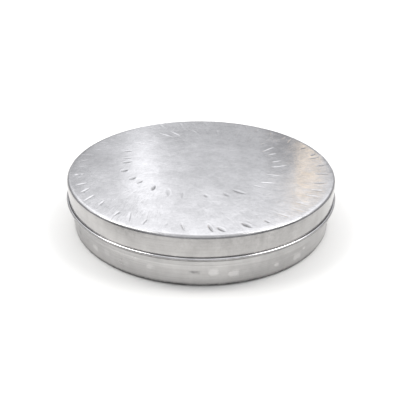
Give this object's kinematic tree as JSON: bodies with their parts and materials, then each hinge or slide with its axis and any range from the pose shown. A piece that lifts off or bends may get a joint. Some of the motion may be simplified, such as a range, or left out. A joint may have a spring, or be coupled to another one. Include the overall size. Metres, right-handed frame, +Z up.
{
  "type": "candle tin",
  "caption": "Shallow round slip-lid metal tin with a hand-struck flat lid, a curled bead and a poured wax candle inside.",
  "frame": {"origin": "centre of the circle that the can stands on, at the surface it stands on", "axes": "+Z up along the tin's axis, through the lid; +Y towards the first wick, which is at the back"},
  "size_m": [0.15, 0.15, 0.0286],
  "materials": {
    "lid_metal": "rolled mill finish, hand struck and lightly scratched",
    "can_metal": "rolled mill finish",
    "wax": "smooth cream wax with a slight frosting",
    "wick_cotton": "braided cotton, primed with wax",
    "tab_steel": "pressed tinned steel",
    "sticker_foam": "white foam pad"
  },
  "bodies": {
    "can": {"can_body": "can_metal", "wax_fill": "wax", "wick_1": "wick_cotton", "wick_2": "wick_cotton", "wick_3": "wick_cotton", "wick_tab_1": "tab_steel", "wick_tab_2": "tab_steel", "wick_tab_3": "tab_steel", "wick_sticker_1": "sticker_foam", "wick_sticker_2": "sticker_foam", "wick_sticker_3": "sticker_foam"},
    "lid": {"lid": "lid_metal"}
  },
  "joints": [
    {"name": "lid_lift", "type": "slide", "parent": "can", "child": "lid", "axis": [0, 0, 1], "range_m": [0, 0.06]}
  ]
}
